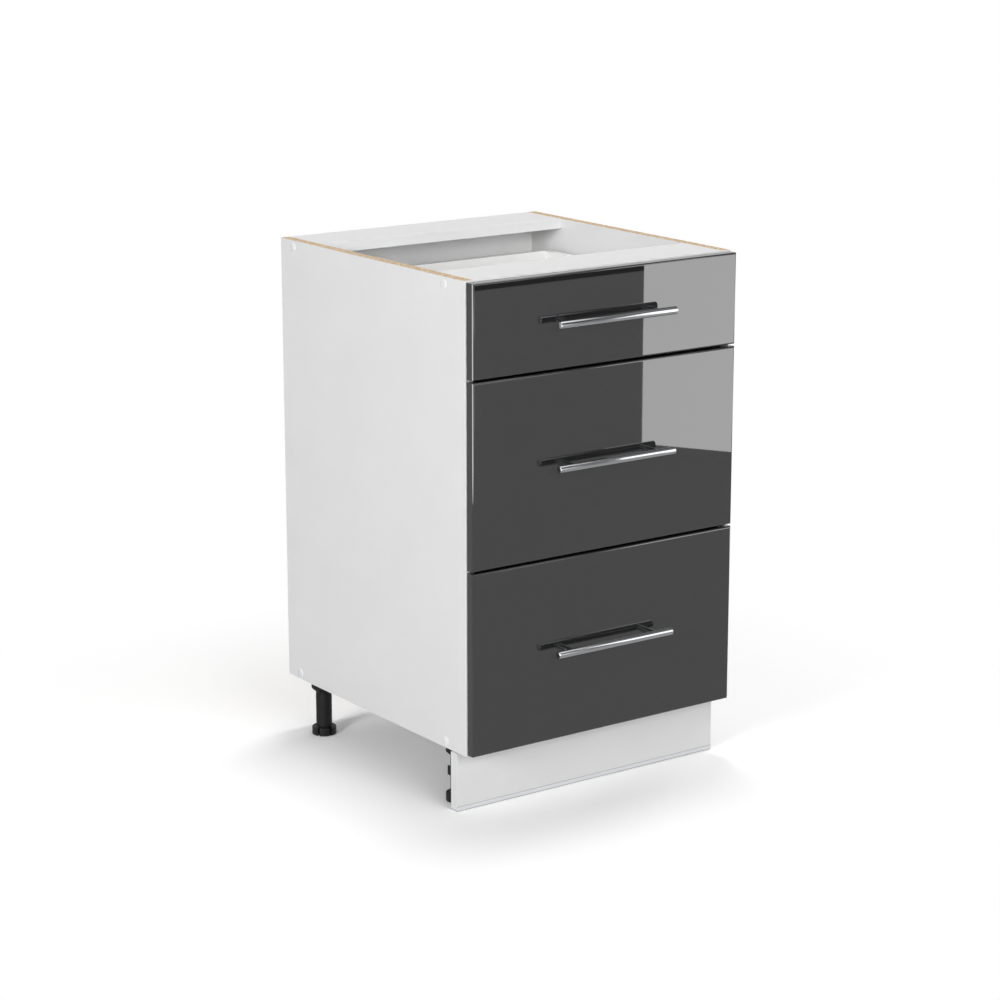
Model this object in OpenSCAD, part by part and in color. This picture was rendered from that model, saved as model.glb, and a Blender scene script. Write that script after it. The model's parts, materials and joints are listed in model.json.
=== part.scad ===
// Base cabinet with three drawers, a set-back plinth and adjustable legs.
// Millimetres, +Z up. The origin is on the floor, in the middle of the width and of the whole depth.
// The front of the cabinet looks along -Y. Drawer level 0 is the bottom one and level 2 the top one.

/* [Carcass] */
// Width over both side panels
carcass_w = 500; // [440:10:600]
// Depth of the side panels
carcass_d = 510; // [490:5:560]
// Height of the side panels
carcass_h = 725; // [705:5:765]
// Height of the carcass underside above the floor
floor_gap = 95; // [90:1:110]
// Thickness of the melamine boards
board_t = 16; // [15:0.5:19]
// Width of each flat rail across the top
rail_w = 96; // [80:1:120]
// Thickness of the hardboard back
back_t = 3; // [2.5:0.5:4]
// Distance from the rear edges to the back
back_inset = 10; // [8:1:12]
// Depth of the grooves that hold the back
back_groove = 5; // [4:0.5:6]

/* [Carcass joints] */
// Distance of the screws from the top or bottom edge of a side panel
screw_edge = 11; // [8:0.5:11]
// Distance of the front screws from the front edge
screw_front = 54; // [40:1:60]
// Distance of the rear screws from the rear edge
screw_rear = 36; // [34:1:60]
// Shank diameter of the carcass screws
screw_d = 7; // [6:0.5:7]
// Core diameter of their thread
screw_core_d = 5; // [4:0.5:5]
// Length of the carcass screws
screw_l = 50; // [40:1:60]
// Diameter of the cover caps
cap_d = 15; // [12:0.5:16]
// Height of the domed cover caps
cap_h = 1.6; // [1:0.1:2]
// Diameter of the wood dowels
dowel_d = 8; // [6:1:8]
// Length of the wood dowels
dowel_l = 30; // [25:1:35]
// Distance of the dowels from the front or rear edge
dowel_inset = 22; // [18:1:26]

/* [Fascias] */
// Thickness of the fascias
fascia_t = 16; // [15:0.5:19]
// Height of the small top fascia
small_fascia_h = 143; // [135:1:150]
// Gap between two fascias
fascia_joint = 3.5; // [2:0.5:5]
// Side panel that shows beside a fascia
side_reveal = 1.5; // [1:0.5:3]
// Carcass that shows under the lowest fascia
bottom_reveal = 3; // [2:0.5:5]
// Carcass that shows above the top fascia
top_reveal = 2; // [1:0.5:4]
// Rounding of the front edges
fascia_edge_r = 3; // [1:0.5:4]
// Gap between the carcass and the closed fascias
fascia_gap = 1.2; // [1.1:0.1:2]

/* [Drawer boxes] */
// Thickness of the drawer box boards
box_t = 12; // [12:0.5:13]
// Length of the drawer sides
box_l = 440; // [410:5:455]
// Height of the two deep drawer boxes
large_box_h = 190; // [150:5:215]
// Height of the shallow drawer box
small_box_h = 83; // [76:1:88]
// Height of a deep box above the lower edge of its fascia
large_box_lift = 27; // [24:1:32]
// Height of the shallow box above the lower edge of its fascia
small_box_lift = 9; // [7:1:14]
// Thickness of the drawer bottoms
box_bottom_t = 3; // [2.5:0.5:4]
// Height of the drawer bottom above the lower edge of the box
box_bottom_lift = 10; // [9:0.5:12]
// Depth of the grooves that hold a drawer bottom
box_groove = 5; // [4:0.5:5]

/* [Roller runners] */
// Space between a side panel and the drawer side
runner_gap = 12.5; // [12.5:0.5:14]
// Length of a runner
runner_l = 400; // [350:10:400]
// Thickness of the runner sheet
runner_t = 1.2; // [1:0.1:1.4]
// Diameter of the rollers
roller_d = 18; // [16:1:20]
// Width of the rollers
roller_w = 6; // [5:0.5:6]
// Diameter of the roller axles
axle_d = 5; // [4:0.5:6]
// Distance of a roller from the end of its runner
roller_inset = 14; // [12:1:18]
// Distance of the cabinet runners from the front edge
runner_setback = 3; // [2:0.5:5]
// Length at the front that has no upper flange
runner_mouth = 45; // [30:1:60]

/* [Handles] */
// Length of the handle bar
bar_l = 220; // [200:5:260]
// Diameter of the handle bar
bar_d = 12; // [11:0.5:14]
// Distance between the two posts
post_pitch = 160; // [128:1:180]
// Diameter of the posts
post_d = 10; // [8:0.5:10]
// Distance from the fascia to the middle of the bar
bar_reach = 25; // [23:0.5:35]

/* [Legs] */
// Diameter of the leg tube
leg_d = 26; // [24:0.5:28]
// Diameter of the mounting collar
collar_d = 40; // [40:1:46]
// Height of the straight part of the collar
collar_h = 15.5; // [12:0.5:18]
// Distance of the legs from the outer side faces
leg_side = 34; // [34:1:60]
// Distance of the front legs from the front edge
leg_front = 69; // [66:1:90]
// Distance of the rear legs from the rear edge
leg_rear = 52; // [40:1:80]
// Diameter of the foot
foot_d = 40; // [38:1:50]
// Height of the foot
foot_h = 15; // [14:0.5:18]
// Diameter of the threaded stem
stem_d = 12; // [10:0.5:14]
// Length of the threaded stem
stem_l = 35; // [25:1:45]

/* [Plinth] */
// Thickness of the plinth board
plinth_t = 16; // [12:0.5:18]
// Distance of the plinth behind the front edge of the carcass
plinth_setback = 25; // [15:1:26]
// Gap between the plinth and the carcass
plinth_top_gap = 2; // [1:0.5:4]
// Height of the seal along the lower edge
seal_h = 8; // [6:0.5:12]
// Height of a plinth clip
clip_h = 15; // [12:1:20]
// Height of the clip centres below the carcass
clip_drop = 46; // [42:1:50]

/* [Hidden] */
$fn = 48;

// Drawer levels
bottom = 0;
middle = 1;
top = 2;

// Sides of the cabinet
left = -1;
right = 1;

// Colours
melamine = "#E6E8EA";
hardboard = "#DCDEE0";
gloss_anthracite = "#464646";
chrome = "#D2D4D6";
white_steel = "#ECECEA";
nylon = "#F4F4F2";
black_plastic = "#262626";
zinc = "#B9BCBE";
beech = "#D9B98A";
grey_seal = "#C4C7C9";
clear_pad = "#E2E6E8";
cap_white = "#F2F3F4";

// Clearances
seat_gap = 0.05;
groove_play = 0.1;
groove_end_gap = 0.5;
axle_play = 0.05;
roll_gap = 0.3;
thread_play = 0.1;
clip_play = 0.3;
cut = 1;

// Whole depth and the planes that everything is placed from
depth_all = carcass_d + fascia_gap + fascia_t + bar_reach + bar_d / 2;
front_y = depth_all / 2 - carcass_d;
rear_y = front_y + carcass_d;
fascia_back_y = front_y - fascia_gap;
fascia_front_y = fascia_back_y - fascia_t;
base_z = floor_gap;
top_z = base_z + carcass_h;
half_w = carcass_w / 2;
inner_half = half_w - board_t;
box_half = inner_half - runner_gap;
box_inner = box_half - box_t;
box_rear_y = fascia_back_y + box_l;

// Fascias share what the reveals and joints leave
fascia_w = carcass_w - 2 * side_reveal;
joints_h = bottom_reveal + top_reveal + 2 * fascia_joint;
large_fascia_h = (carcass_h - joints_h - small_fascia_h) / 2;

// Back panel grooves
back_rear_y = rear_y - back_inset;
back_edge_groove = 4;

// Screw heads and the caps over them
cap_steps = 6;
screw_head_step = 1.25;
screw_head_r = screw_d / 2 + screw_head_step;
screw_head_h = 2.5;
euro_screw_r = 3;
euro_screw_l = 11;
euro_head_r = 3.5;
euro_head_h = 1;
small_screw_r = 1.75;
small_head_r = 3.25;
small_head_h = 1.8;
box_screw_l = 37;
under_screw_l = 8;
runner_screw_end = 35;
dowel_in_side = 10;

// Cam fittings between drawer side and fascia
cam_r = 6;
cam_depth = 9.5;
cam_back = 24;
cam_bolt_r = 3;
cam_bolt_play = 0.2;
cam_bolt_in = 11;
joint_low = 28;
joint_high = 18;

// Handle screws
handle_screw_r = 2;
handle_screw_in = 8;
handle_head_r = 4;
handle_head_h = 2.2;
bar_chamfer = 1;

// Bumper pads
pad_r = 4;
pad_air = 0.2;
pad_h = fascia_gap - pad_air;
pad_inset = 30;

// Runner section, counted from the inner face of the side panel
wing_clear = 1.3;
roller_side_gap = 0.4;
axle_head_r = 4;
axle_head_t = 0.8;
flange_lift = 1;
guide_gap = 0.5;
roller_r = roller_d / 2;
wing_z = roller_d + flange_lift;
guide_z = wing_z + runner_t + guide_gap;
channel_reach = runner_gap - runner_t - wing_clear;
cab_runner_y = front_y + runner_setback;
box_runner_inset = 2;
box_runner_y = fascia_back_y + box_runner_inset;
stop_gap = 0.8;
cab_runner_end = box_runner_y + runner_l + stop_gap + runner_t;
front_roller_y = cab_runner_y + roller_inset;
rear_roller_y = box_runner_y + runner_l - roller_inset;
rear_roller_lift = roll_gap + roller_r;
front_roller_lift = wing_z - roll_gap - roller_r;
axle_l = roller_side_gap + roller_w + roller_side_gap + axle_head_t;

// Legs and feet
leg_x = half_w - leg_side;
leg_front_y = front_y + leg_front;
leg_rear_y = rear_y - leg_rear;
collar_slope = (collar_d - leg_d) / 2;
well_depth = 6;
foot_slope = 5;
foot_floor = foot_h - well_depth;
foot_edge = foot_h - foot_slope;
foot_top_r = foot_d / 2 - foot_slope;
tube_gap = 0.3;
tube_z = foot_floor + tube_gap;
tube_wall = 2.5;
leg_nut_h = 20;
collar_plate = 4;
leg_screw_pitch_r = (leg_d / 2 + collar_d / 2) / 2;
leg_screw_clear = 0.5;
leg_screw_in = screw_edge - screw_core_d / 2 - leg_screw_clear;
notches = 6;
notch_w = 2.6;
notch_depth = 4;

// Plinth
plinth_front_y = front_y + plinth_setback;
plinth_rear_y = plinth_front_y + plinth_t;
seal_t = 0.8;
seal_floor = 2;
clip_wall = 2.2;
clip_base_w = 40;
clip_base_t = 3;
clip_stem_w = 12;
clip_arm = 8;
clip_screw_x = 15;
clip_screw_in = 10;

function fascia_h(k) = k == top ? small_fascia_h : large_fascia_h;
function fascia_z(k) = base_z + bottom_reveal + k * (large_fascia_h + fascia_joint);
function box_h(k) = k == top ? small_box_h : large_box_h;
function box_z(k) = fascia_z(k) + (k == top ? small_box_lift : large_box_lift);
function handle_z(k) = fascia_z(k) + fascia_h(k) / 2;
function joint_heights(k) = [box_z(k) + joint_low, box_z(k) + box_h(k) - joint_high];

// A piece drawn for the right-hand side, turned over for the left
module on_side(s) {
  mirror([s == left ? 1 : 0, 0, 0]) children();
}

module on_both_sides() {
  for (s = [left, right]) {
    on_side(s) children();
  }
}

// Cylinder that runs from the given point towards -X
module rod_inward(r, l) {
  rotate([0, -90, 0]) cylinder(r = r, h = l);
}

// Cylinder that runs from the given point towards -Y
module rod_forward(r, l) {
  rotate([90, 0, 0]) cylinder(r = r, h = l);
}

// Outline of a board with its front towards -Y and both front corners rounded
module soft_outline(w, t, r) {
  translate([-w / 2, r - t]) square([w, t - r]);
  translate([r - w / 2, -t]) square([w - 2 * r, t]);
  for (s = [-1, 1]) {
    translate([s * (w / 2 - r), r - t]) circle(r);
  }
}

// Upright board with all four front edges rounded, and its back on the plane y = 0
module soft_slab(w, t, h, r) {
  intersection() {
    linear_extrude(h) soft_outline(w, t, r);
    translate([w / 2, 0, h / 2]) rotate([0, -90, 0]) linear_extrude(w) soft_outline(h, t, r);
  }
}

// Block beside the right-hand side panel: u counts from its inner face towards the middle
module gap_block(u, y, z) {
  translate([inner_half - u[1], y[0], z[0]]) cube([u[1] - u[0], y[1] - y[0], z[1] - z[0]]);
}

// Carcass screw with its head on the outer face of the right-hand side, and the hole that fits it
module carcass_screw(gap) {
  translate([half_w, 0, 0]) {
    rotate([0, -90, 0]) cylinder(r1 = screw_head_r + gap, r2 = screw_d / 2 + gap, h = screw_head_h);
    rod_inward(screw_d / 2 + gap, board_t);
    rod_inward(screw_core_d / 2 + gap, screw_l + gap);
  }
}

module at_carcass_screws() {
  for (y = [front_y + screw_front, rear_y - screw_rear], z = [base_z + screw_edge, top_z - screw_edge]) {
    translate([0, y, z]) children();
  }
}

module dowel(gap) {
  translate([inner_half + dowel_in_side + gap, 0, 0]) rod_inward(dowel_d / 2 + gap, dowel_l + 2 * gap);
}

module at_dowels() {
  for (y = [front_y + dowel_inset, rear_y - dowel_inset], z = [base_z + board_t / 2, top_z - board_t / 2]) {
    translate([0, y, z]) children();
  }
}

// Everything that the side panels, bottom and rails are drilled for
module carcass_drilling() {
  on_both_sides() {
    at_carcass_screws() carcass_screw(seat_gap);
    at_dowels() dowel(seat_gap);
  }
}

// Room for the back: the hardboard grown by its play
module back_room() {
  reach = inner_half + back_groove;
  low = base_z + board_t - back_edge_groove;
  high = top_z - board_t + back_edge_groove;
  y = back_rear_y - back_t - groove_play;
  translate([-reach, y, low]) cube([2 * reach, back_t + 2 * groove_play, high - low]);
}

module side_panel() {
  color(melamine) difference() {
    translate([inner_half, front_y, base_z]) cube([board_t, carcass_d, carcass_h]);
    at_carcass_screws() carcass_screw(seat_gap);
    at_dowels() dowel(seat_gap);
    at_runner_screws() euro_screw(seat_gap);
    back_room();
  }
}

module side_panel_left() {
  on_side(left) side_panel();
}

module side_panel_right() {
  on_side(right) side_panel();
}

module bottom_panel() {
  color(melamine) difference() {
    translate([-inner_half, front_y, base_z]) cube([2 * inner_half, carcass_d, board_t]);
    carcass_drilling();
    back_room();
    at_legs() at_leg_screws() leg_screw(seat_gap);
  }
}

module top_rail(y) {
  color(melamine) difference() {
    translate([-inner_half, y, top_z - board_t]) cube([2 * inner_half, rail_w, board_t]);
    carcass_drilling();
    back_room();
  }
}

module front_rail() {
  top_rail(front_y);
}

module rear_rail() {
  top_rail(rear_y - rail_w);
}

module back_panel() {
  reach = inner_half + back_groove - groove_end_gap;
  low = base_z + board_t - back_edge_groove + groove_end_gap;
  high = top_z - board_t + back_edge_groove - groove_end_gap;
  color(hardboard) translate([-reach, back_rear_y - back_t, low]) cube([2 * reach, back_t, high - low]);
}

module carcass_screws() {
  color(zinc) on_both_sides() at_carcass_screws() carcass_screw(0);
}

// Shallow dome over each screw head, turned from an arc in short straight steps
module cover_caps() {
  dome_r = (pow(cap_d / 2, 2) + pow(cap_h, 2)) / (2 * cap_h);
  reach = asin(cap_d / 2 / dome_r);
  arc = [
    for (i = [0 : cap_steps])
      [dome_r * sin(reach * i / cap_steps), cap_h - dome_r * (1 - cos(reach * i / cap_steps))]
  ];
  color(cap_white) on_both_sides() at_carcass_screws() translate([half_w, 0, 0]) rotate([0, 90, 0])
    rotate_extrude() polygon(concat([[0, 0]], arc));
}

module dowels() {
  color(beech) on_both_sides() at_dowels() dowel(0);
}

// Soft pads on the front edges of the side panels, near the corners of each fascia
module bumper_pads() {
  x = half_w - board_t / 2;
  color(clear_pad) for (k = [bottom, middle, top], s = [left, right], low = [true, false]) {
    z = fascia_z(k) + (low ? pad_inset : fascia_h(k) - pad_inset);
    translate([s * x, front_y, z]) rod_forward(pad_r, pad_h);
  }
}

// Screw through the web of a cabinet runner into the side panel
module euro_screw(gap) {
  translate([inner_half + euro_screw_l + gap, 0, 0]) rod_inward(euro_screw_r + gap, euro_screw_l + runner_t + cut);
}

module at_runner_screws() {
  ends = [cab_runner_y + runner_screw_end, cab_runner_end - runner_screw_end];
  for (k = [bottom, middle, top], y = [ends[0], (ends[0] + ends[1]) / 2, ends[1]]) {
    translate([0, y, box_z(k) + rear_roller_lift]) children();
  }
}

module runner_screws() {
  color(zinc) on_both_sides() at_runner_screws() {
    translate([inner_half + euro_screw_l, 0, 0]) rod_inward(euro_screw_r, euro_screw_l + runner_t);
    translate([inner_half - runner_t, 0, 0]) rod_inward(euro_head_r, euro_head_h);
  }
}

// Channel on the side panel, with the axle of its front roller
module cabinet_runner(k) {
  z = box_z(k);
  ys = [cab_runner_y, cab_runner_end];
  color(white_steel) difference() {
    union() {
      gap_block([0, runner_t], ys, [z - runner_t, z + guide_z + runner_t]);
      gap_block([0, channel_reach], ys, [z - runner_t, z]);
      gap_block([0, channel_reach], [ys[0] + runner_mouth, ys[1]], [z + guide_z, z + guide_z + runner_t]);
      gap_block([0, channel_reach], [ys[1] - runner_t, ys[1]], [z - runner_t, z + guide_z + runner_t]);
      translate([inner_half, front_roller_y, z + front_roller_lift]) {
        rod_inward(axle_d / 2, runner_t + axle_l);
        translate([axle_head_t - runner_t - axle_l, 0, 0]) rod_inward(axle_head_r, axle_head_t);
      }
    }
    at_runner_screws() euro_screw(seat_gap);
  }
}

module cabinet_runners_left() {
  on_side(left) for (k = [bottom, middle, top]) {
    cabinet_runner(k);
  }
}

module cabinet_runners_right() {
  on_side(right) for (k = [bottom, middle, top]) {
    cabinet_runner(k);
  }
}

// Nylon wheel whose face towards the middle is at u, turning on an axle along X
module roller(u, y, z) {
  color(nylon) translate([inner_half - u, y, z]) rotate([0, -90, 0]) difference() {
    cylinder(r = roller_r, h = roller_w);
    translate([0, 0, -cut]) cylinder(r = axle_d / 2 + axle_play, h = roller_w + 2 * cut);
  }
}

module front_rollers(k) {
  on_both_sides() roller(runner_t + roller_side_gap, front_roller_y, box_z(k) + front_roller_lift);
}

module rear_rollers(k) {
  u = runner_gap - runner_t - roller_side_gap - roller_w;
  on_both_sides() roller(u, rear_roller_y, box_z(k) + rear_roller_lift);
}

// Screws that run up through the lower flange of a drawer runner into the drawer side
module at_under_screws(k) {
  ends = [box_runner_y + runner_screw_end, box_runner_y + runner_l - runner_screw_end];
  for (y = [ends[0], (ends[0] + ends[1]) / 2, ends[1]]) {
    translate([box_half - box_t / 2, y, box_z(k)]) children();
  }
}

module under_screw(gap) {
  translate([0, 0, -runner_t]) cylinder(r = small_screw_r + gap, h = runner_t + under_screw_l + gap);
  translate([0, 0, -runner_t - small_head_h]) cylinder(r = small_head_r + gap, h = small_head_h);
}

// Drawer member of a runner, with the axle of its rear roller
module drawer_runner(k) {
  z = box_z(k);
  ys = [box_runner_y, box_runner_y + runner_l];
  web = runner_gap - runner_t;
  color(white_steel) difference() {
    union() {
      gap_block([web, runner_gap], ys, [z - runner_t, z + wing_z + runner_t]);
      gap_block([web, runner_gap + box_t], ys, [z - runner_t, z]);
      gap_block([runner_t + wing_clear, runner_gap], ys, [z + wing_z, z + wing_z + runner_t]);
      translate([inner_half - web + axle_l, rear_roller_y, z + rear_roller_lift]) {
        rod_inward(axle_d / 2, axle_l + runner_t);
        rod_inward(axle_head_r, axle_head_t);
      }
    }
    at_under_screws(k) under_screw(seat_gap);
  }
}

module drawer_runners(k) {
  on_both_sides() drawer_runner(k);
}

// Cam fitting that draws a drawer side against its fascia
module at_cams(k) {
  for (z = joint_heights(k)) {
    translate([box_inner, fascia_back_y + cam_back, z]) children();
  }
}

module cam_bolt(gap) {
  l = cam_bolt_in + cam_back + gap;
  translate([box_t / 2, 0, 0]) rod_forward(cam_bolt_r + gap, l);
}

module cam_body(gap) {
  translate([-gap, 0, 0]) rotate([0, 90, 0]) cylinder(r = cam_r + gap, h = cam_depth + 2 * gap);
}

// Screws through the drawer sides into the back of the box
module at_box_screws(k) {
  for (z = joint_heights(k)) {
    translate([box_half, box_rear_y - box_t / 2, z]) children();
  }
}

module box_screw(gap) {
  rod_inward(small_screw_r + gap, box_screw_l + gap);
  rotate([0, -90, 0]) cylinder(r1 = small_head_r + gap, r2 = small_screw_r + gap, h = small_head_h);
}

module at_handle_screws(k) {
  for (s = [left, right]) {
    translate([s * post_pitch / 2, fascia_back_y, handle_z(k)]) children();
  }
}

module handle_screw(gap) {
  translate([0, cut, 0]) rod_forward(handle_screw_r + gap, cut + fascia_t + handle_screw_in + gap);
}

// Room for the drawer bottom, which lies in grooves all round
module bottom_room(k) {
  reach = box_inner + box_groove;
  y = fascia_back_y - box_groove;
  z = box_z(k) + box_bottom_lift;
  l = box_l - box_t + 2 * box_groove;
  translate([-reach, y, z]) cube([2 * reach, l, box_bottom_t + 2 * groove_play]);
}

module fascia(k) {
  color(gloss_anthracite) difference() {
    translate([0, fascia_back_y, fascia_z(k)]) soft_slab(fascia_w, fascia_t, fascia_h(k), fascia_edge_r);
    bottom_room(k);
    on_both_sides() at_cams(k) cam_bolt(seat_gap);
    at_handle_screws(k) handle_screw(seat_gap);
  }
}

module drawer_side(k) {
  color(melamine) difference() {
    translate([box_inner, fascia_back_y, box_z(k)]) cube([box_t, box_l, box_h(k)]);
    side_groove(k);
    at_cams(k) {
      cam_bolt(seat_gap);
      translate([-cut, 0, 0]) cam_body(seat_gap);
      cam_body(seat_gap);
    }
    at_box_screws(k) box_screw(seat_gap);
    at_under_screws(k) under_screw(seat_gap);
  }
}

// The groove of a drawer side runs through from end to end
module side_groove(k) {
  h = box_bottom_t + 2 * groove_play;
  translate([box_inner - cut, fascia_back_y - cut, box_z(k) + box_bottom_lift])
    cube([box_groove + cut, box_l + 2 * cut, h]);
}

module drawer_side_left(k) {
  on_side(left) drawer_side(k);
}

module drawer_side_right(k) {
  on_side(right) drawer_side(k);
}

module drawer_back(k) {
  color(melamine) difference() {
    translate([-box_inner, box_rear_y - box_t, box_z(k)]) cube([2 * box_inner, box_t, box_h(k)]);
    bottom_room(k);
    on_both_sides() at_box_screws(k) box_screw(seat_gap);
  }
}

module drawer_bottom(k) {
  reach = box_inner + box_groove - groove_end_gap;
  y = fascia_back_y - box_groove + groove_end_gap;
  z = box_z(k) + box_bottom_lift + groove_play;
  l = box_l - box_t + 2 * (box_groove - groove_end_gap);
  color(hardboard) translate([-reach, y, z]) cube([2 * reach, l, box_bottom_t]);
}

// Cams, cam bolts and screws of one drawer, with the two screws of its handle
module drawer_fixings(k) {
  color(zinc) {
    on_both_sides() {
      at_cams(k) cam_bolt(0);
      at_cams(k) difference() {
        cam_body(0);
        translate([0, cam_bolt_play, 0]) cam_bolt(cam_bolt_play);
      }
      at_box_screws(k) box_screw(0);
      at_under_screws(k) under_screw(0);
    }
    at_handle_screws(k) {
      rod_forward(handle_screw_r, fascia_t + handle_screw_in);
      translate([0, handle_head_h, 0]) rod_forward(handle_head_r, handle_head_h);
    }
  }
}

module handle_bar(k) {
  y = fascia_front_y - bar_reach;
  color(chrome) translate([bar_l / 2, y, handle_z(k)]) {
    translate([-bar_chamfer, 0, 0]) rod_inward(bar_d / 2, bar_l - 2 * bar_chamfer);
    rotate([0, -90, 0]) cylinder(r1 = bar_d / 2 - bar_chamfer, r2 = bar_d / 2, h = bar_chamfer);
    translate([bar_chamfer - bar_l, 0, 0]) rotate([0, -90, 0])
      cylinder(r1 = bar_d / 2, r2 = bar_d / 2 - bar_chamfer, h = bar_chamfer);
  }
}

// Posts that end in a saddle under the bar
module handle_posts(k) {
  color(chrome) difference() {
    for (s = [left, right]) {
      translate([s * post_pitch / 2, fascia_front_y, handle_z(k)]) rod_forward(post_d / 2, bar_reach);
    }
    translate([bar_l / 2, fascia_front_y - bar_reach, handle_z(k)]) rod_inward(bar_d / 2 + seat_gap, bar_l);
    at_handle_screws(k) handle_screw(seat_gap);
  }
}

// The four places of the legs, front pair and rear pair
module at_legs() {
  for (x = [-leg_x, leg_x], y = [leg_front_y, leg_rear_y]) {
    translate([x, y, 0]) children();
  }
}

module at_leg_screws() {
  for (a = [45 : 90 : 315]) {
    rotate(a) translate([leg_screw_pitch_r, 0, base_z]) children();
  }
}

module leg_screw(gap) {
  translate([0, 0, -collar_plate]) cylinder(r = small_screw_r + gap, h = collar_plate + leg_screw_in + gap);
}

// Tube with its mounting collar, drilled from below for the foot's stem and the four screws
module leg(x, y) {
  color(black_plastic) translate([x, y, 0]) difference() {
    union() {
      translate([0, 0, tube_z]) cylinder(r = leg_d / 2, h = base_z - tube_z);
      translate([0, 0, base_z - collar_h]) cylinder(r = collar_d / 2, h = collar_h);
      translate([0, 0, base_z - collar_h - collar_slope])
        cylinder(r1 = leg_d / 2, r2 = collar_d / 2, h = collar_slope);
    }
    translate([0, 0, tube_z - cut]) cylinder(r = stem_d / 2 + thread_play, h = leg_nut_h + 2 * cut);
    translate([0, 0, tube_z + leg_nut_h])
      cylinder(r = leg_d / 2 - tube_wall, h = base_z - collar_plate - tube_z - leg_nut_h);
    at_leg_screws() {
      leg_screw(seat_gap);
      translate([0, 0, -collar_plate - collar_h - collar_slope])
        cylinder(r = small_head_r + seat_gap, h = collar_h + collar_slope);
    }
  }
}

module leg_screws() {
  color(zinc) at_legs() at_leg_screws() {
    leg_screw(0);
    translate([0, 0, -collar_plate - small_head_h]) cylinder(r = small_head_r, h = small_head_h);
  }
}

// Turned foot with six notches for the hand, a well for the tube and a threaded stem
module foot(x, y) {
  color(black_plastic) translate([x, y, 0]) {
    difference() {
      union() {
        cylinder(r = foot_d / 2, h = foot_edge);
        translate([0, 0, foot_edge]) cylinder(r1 = foot_d / 2, r2 = foot_top_r, h = foot_h - foot_edge);
      }
      translate([0, 0, foot_floor]) cylinder(r = leg_d / 2 + tube_gap, h = foot_h);
      for (i = [0 : notches - 1]) {
        rotate((i + 1 / 2) * 360 / notches) translate([foot_d / 2 - notch_depth, -notch_w / 2, -cut])
          cube([foot_d, notch_w, foot_h + 2 * cut]);
      }
    }
    translate([0, 0, foot_floor / 2]) cylinder(r = stem_d / 2, h = foot_floor / 2 + stem_l);
  }
}

module plinth_board() {
  h = base_z - plinth_top_gap - seal_floor;
  color(melamine) difference() {
    translate([-half_w, plinth_front_y, seal_floor]) cube([carcass_w, plinth_t, h]);
    at_clip_screws() clip_screw(seat_gap);
  }
}

// Channel pushed over the lower edge of the plinth
module plinth_seal() {
  color(grey_seal) difference() {
    translate([-half_w, plinth_front_y - seal_t, 0]) cube([carcass_w, plinth_t + 2 * seal_t, seal_h]);
    translate([-half_w - cut, plinth_front_y, seal_floor]) cube([carcass_w + 2 * cut, plinth_t, seal_h]);
  }
}

module at_clip_screws() {
  for (x = [-leg_x, leg_x], s = [left, right]) {
    translate([x + s * clip_screw_x, plinth_rear_y + clip_base_t, base_z - clip_drop]) children();
  }
}

module clip_screw(gap) {
  rod_forward(small_screw_r + gap, clip_base_t + clip_screw_in + gap);
}

// Open clip that slides on to a front leg from the front, on a base screwed to the plinth
module plinth_clip(x) {
  inner_r = leg_d / 2 + clip_play;
  outer_r = inner_r + clip_wall;
  base_y = plinth_rear_y - leg_front_y;
  color(black_plastic) translate([x, leg_front_y, base_z - clip_drop - clip_h / 2]) linear_extrude(clip_h)
    difference() {
      union() {
        circle(outer_r);
        translate([-outer_r, 0]) square([2 * outer_r, clip_arm]);
        translate([-clip_stem_w / 2, base_y]) square([clip_stem_w, -base_y]);
        translate([-clip_base_w / 2, base_y]) square([clip_base_w, clip_base_t]);
      }
      circle(inner_r);
      translate([-inner_r, 0]) square([2 * inner_r, outer_r + clip_arm]);
    }
}

module plinth_clips() {
  difference() {
    for (x = [-leg_x, leg_x]) {
      plinth_clip(x);
    }
    at_clip_screws() clip_screw(seat_gap);
  }
}

module plinth_clip_screws() {
  color(zinc) at_clip_screws() {
    clip_screw(0);
    translate([0, small_head_h, 0]) rod_forward(small_head_r, small_head_h);
  }
}

side_panel_left();
side_panel_right();
bottom_panel();
back_panel();
front_rail();
rear_rail();
carcass_screws();
cover_caps();
dowels();
bumper_pads();
cabinet_runners_left();
cabinet_runners_right();
runner_screws();
front_rollers(top);  // front_rollers_top
front_rollers(middle);  // front_rollers_middle
front_rollers(bottom);  // front_rollers_bottom
leg(-leg_x, leg_front_y);  // leg_front_left
leg(leg_x, leg_front_y);  // leg_front_right
leg(-leg_x, leg_rear_y);  // leg_rear_left
leg(leg_x, leg_rear_y);  // leg_rear_right
foot(-leg_x, leg_front_y);  // foot_front_left
foot(leg_x, leg_front_y);  // foot_front_right
foot(-leg_x, leg_rear_y);  // foot_rear_left
foot(leg_x, leg_rear_y);  // foot_rear_right
leg_screws();
plinth_board();
plinth_seal();
plinth_clips();
plinth_clip_screws();
fascia(top);  // fascia_top
drawer_side_left(top);  // drawer_side_left_top
drawer_side_right(top);  // drawer_side_right_top
drawer_back(top);  // drawer_back_top
drawer_bottom(top);  // drawer_bottom_top
drawer_runners(top);  // drawer_runners_top
rear_rollers(top);  // rear_rollers_top
drawer_fixings(top);  // drawer_fixings_top
handle_bar(top);  // handle_bar_top
handle_posts(top);  // handle_posts_top
fascia(middle);  // fascia_middle
drawer_side_left(middle);  // drawer_side_left_middle
drawer_side_right(middle);  // drawer_side_right_middle
drawer_back(middle);  // drawer_back_middle
drawer_bottom(middle);  // drawer_bottom_middle
drawer_runners(middle);  // drawer_runners_middle
rear_rollers(middle);  // rear_rollers_middle
drawer_fixings(middle);  // drawer_fixings_middle
handle_bar(middle);  // handle_bar_middle
handle_posts(middle);  // handle_posts_middle
fascia(bottom);  // fascia_bottom
drawer_side_left(bottom);  // drawer_side_left_bottom
drawer_side_right(bottom);  // drawer_side_right_bottom
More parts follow.
